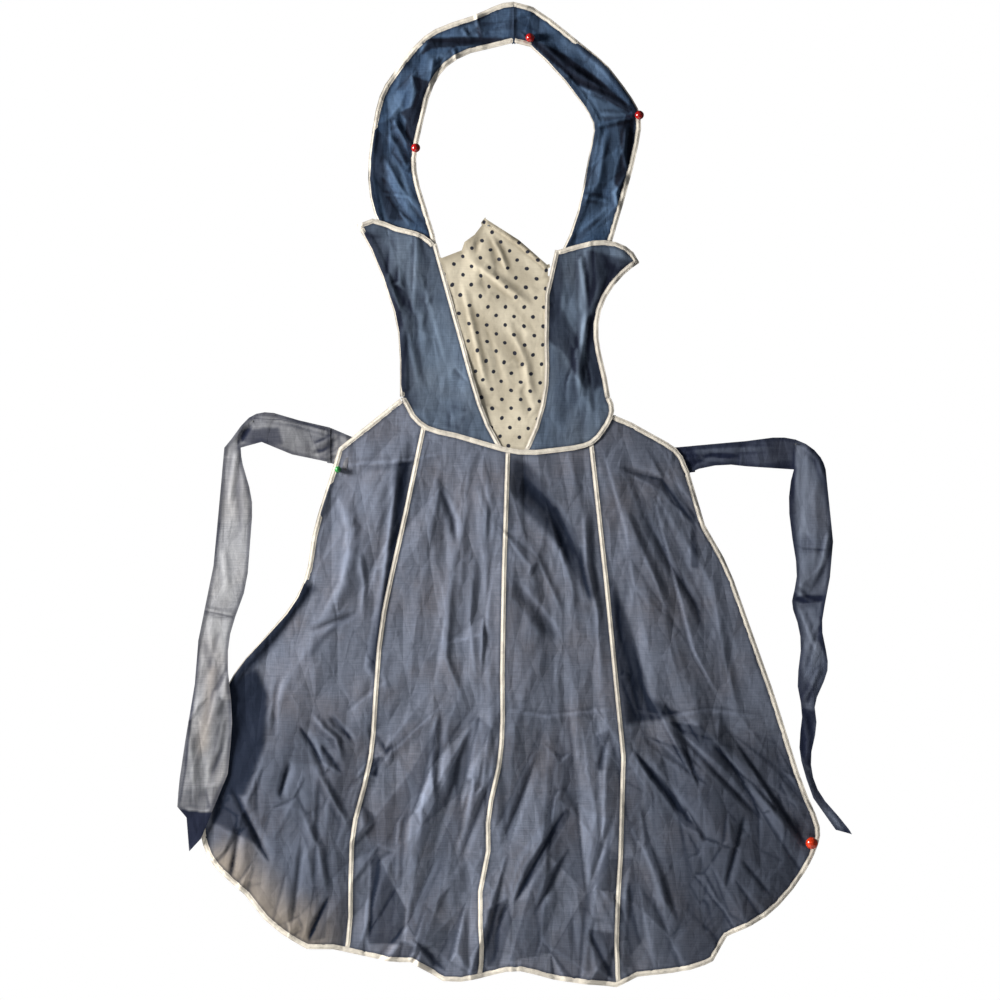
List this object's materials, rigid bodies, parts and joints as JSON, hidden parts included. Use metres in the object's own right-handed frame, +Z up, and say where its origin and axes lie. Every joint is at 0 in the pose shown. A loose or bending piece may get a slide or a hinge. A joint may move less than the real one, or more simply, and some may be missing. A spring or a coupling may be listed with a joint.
{
  "type": "bib apron",
  "caption": "Pinned-up bib apron in sheer chambray with white bias binding, halter neck loop, dotted inset, four-gore skirt and two hanging waist ties.",
  "frame": {"origin": "where the axis of the top ball-head pin meets the face of the wall", "axes": "+Z up, +X to the right of someone facing the apron, +Y into the wall along the pins; the cloth lies on the -Y side"},
  "size_m": [0.741, 0.0362, 1.083],
  "materials": {
    "chambray": "plain weave, semi-sheer, creased",
    "chambray_strap": "the same cloth, bluer where it is doubled",
    "chambray_tie": "the same cloth, single and faded",
    "dotted_cotton": "cream cotton with small navy dots",
    "bias_tape": "off-white cotton bias tape, edge-stitched",
    "red_pin_head": "moulded ball, glossy",
    "orange_pin_head": "moulded ball, glossy",
    "green_pin_head": "moulded ball, glossy",
    "pin_steel": "nickel-plated steel wire"
  },
  "bodies": {
    "neck_loop": {"neck_inner_binding_left": "bias_tape", "neck_inner_binding_right": "bias_tape", "neck_outer_binding_left": "bias_tape", "neck_outer_binding_right": "bias_tape", "neck_strap_left": "chambray_strap", "neck_strap_right": "chambray_strap"},
    "bib": {"bib_inset": "dotted_cotton", "bib_panel_left": "chambray", "bib_panel_right": "chambray", "bib_side_binding_left": "bias_tape", "bib_side_binding_right": "bias_tape", "inset_hem": "dotted_cotton", "inset_piping_left": "bias_tape", "inset_piping_right": "bias_tape", "wing_binding_left": "bias_tape", "wing_binding_right": "bias_tape"},
    "skirt": {"inset_piping_end_left": "bias_tape", "inset_piping_end_right": "bias_tape", "left_tie_root": "chambray_tie", "right_tie_root": "chambray_tie", "seam_piping_centre": "bias_tape", "seam_piping_left": "bias_tape", "seam_piping_right": "bias_tape", "skirt_binding": "bias_tape", "skirt_gore_centre_left": "chambray", "skirt_gore_centre_right": "chambray", "skirt_gore_side_left": "chambray", "skirt_gore_side_right": "chambray", "yoke_piping": "bias_tape", "yoke_point_inset": "dotted_cotton", "yoke_point_left": "chambray", "yoke_point_right": "chambray"},
    "left_tie": {"left_tie": "chambray_tie"},
    "left_tail": {"left_tail": "chambray_tie"},
    "right_tie": {"right_tie": "chambray_tie"},
    "right_tail": {"right_tail": "chambray_tie"},
    "top_pin": {"top_pin_head": "red_pin_head", "top_pin_needle": "pin_steel"},
    "left_pin": {"left_pin_head": "red_pin_head", "left_pin_needle": "pin_steel"},
    "right_pin": {"right_pin_head": "red_pin_head", "right_pin_needle": "pin_steel"},
    "waist_pin": {"waist_pin_head": "green_pin_head", "waist_pin_needle": "pin_steel"},
    "hem_pin": {"hem_pin_head": "orange_pin_head", "hem_pin_needle": "pin_steel"},
    "inset_pin": {"inset_pin": "pin_steel"},
    "left_tie_pin": {"left_tie_pin": "pin_steel"},
    "right_tie_pin": {"right_tie_pin": "pin_steel"}
  },
  "joints": [
    {"name": "bib_fold", "type": "hinge", "parent": "neck_loop", "child": "bib", "pos_m": [0, -0.0038, -0.198], "axis": [-1, 0, 0], "range_deg": [0, 45]},
    {"name": "waist_fold", "type": "hinge", "parent": "bib", "child": "skirt", "pos_m": [0, -0.0038, -0.395], "axis": [-1, 0, 0], "range_deg": [0, 60]},
    {"name": "left_tie_swing", "type": "hinge", "parent": "skirt", "child": "left_tie", "pos_m": [-0.2195, -0.0038, -0.45], "axis": [0, 0, 1], "range_deg": [0, 60]},
    {"name": "left_tail_swing", "type": "hinge", "parent": "left_tie", "child": "left_tail", "pos_m": [-0.327, -0.0038, -0.45], "axis": [-1, 0, 0], "range_deg": [0, 90]},
    {"name": "right_tie_swing", "type": "hinge", "parent": "skirt", "child": "right_tie", "pos_m": [0.178, -0.0038, -0.46], "axis": [0, 0, -1], "range_deg": [0, 60]},
    {"name": "right_tail_swing", "type": "hinge", "parent": "right_tie", "child": "right_tail", "pos_m": [0.308, -0.0038, -0.474], "axis": [-1, 0, 0], "range_deg": [0, 90]},
    {"name": "top_pin_pull", "type": "slide", "parent": "neck_loop", "child": "top_pin", "axis": [0, -1, 0], "range_m": [0, 0.025]},
    {"name": "left_pin_pull", "type": "slide", "parent": "neck_loop", "child": "left_pin", "axis": [0, -1, 0], "range_m": [0, 0.025]},
    {"name": "right_pin_pull", "type": "slide", "parent": "neck_loop", "child": "right_pin", "axis": [0, -1, 0], "range_m": [0, 0.025]},
    {"name": "waist_pin_pull", "type": "slide", "parent": "skirt", "child": "waist_pin", "axis": [0, -1, 0], "range_m": [0, 0.025]},
    {"name": "hem_pin_pull", "type": "slide", "parent": "skirt", "child": "hem_pin", "axis": [0, -1, 0], "range_m": [0, 0.025]},
    {"name": "inset_pin_pull", "type": "slide", "parent": "bib", "child": "inset_pin", "axis": [0, -1, 0], "range_m": [0, 0.025]},
    {"name": "left_tie_pin_pull", "type": "slide", "parent": "left_tie", "child": "left_tie_pin", "axis": [0, -1, 0], "range_m": [0, 0.025]},
    {"name": "right_tie_pin_pull", "type": "slide", "parent": "right_tie", "child": "right_tie_pin", "axis": [0, -1, 0], "range_m": [0, 0.025]}
  ]
}
